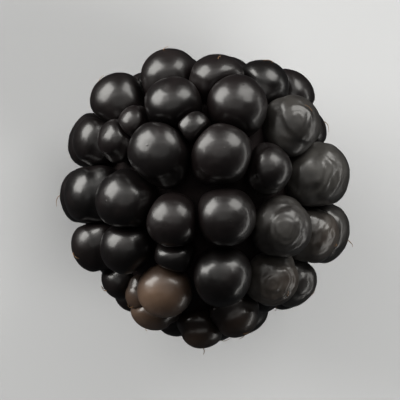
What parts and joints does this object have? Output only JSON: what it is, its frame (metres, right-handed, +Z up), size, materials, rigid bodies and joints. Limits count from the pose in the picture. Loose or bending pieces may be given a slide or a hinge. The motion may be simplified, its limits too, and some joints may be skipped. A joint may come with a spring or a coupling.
{
  "type": "bramble berry",
  "caption": "Ripe bramble berry lying on its side: a plump oval aggregate fruit of round glossy drupelets packed in rows, with a pale receptacle scar at its stem end.",
  "frame": {"origin": "on the surface the berry lies on, under the middle of its bounding box", "axes": "+Z up; the fruit's axis lies along Y, with its tip towards -Y and its stem end towards +Y, where it dips by about two degrees; +X is to the right when the berry is seen from above with its stem end away"},
  "size_m": [0.0272, 0.0272, 0.0261],
  "materials": {
    "drupelet_skin": "satin gloss",
    "receptacle_flesh": "matte"
  },
  "bodies": {
    "root": {"drupelets": "drupelet_skin", "receptacle_plug": "receptacle_flesh"}
  },
  "joints": []
}
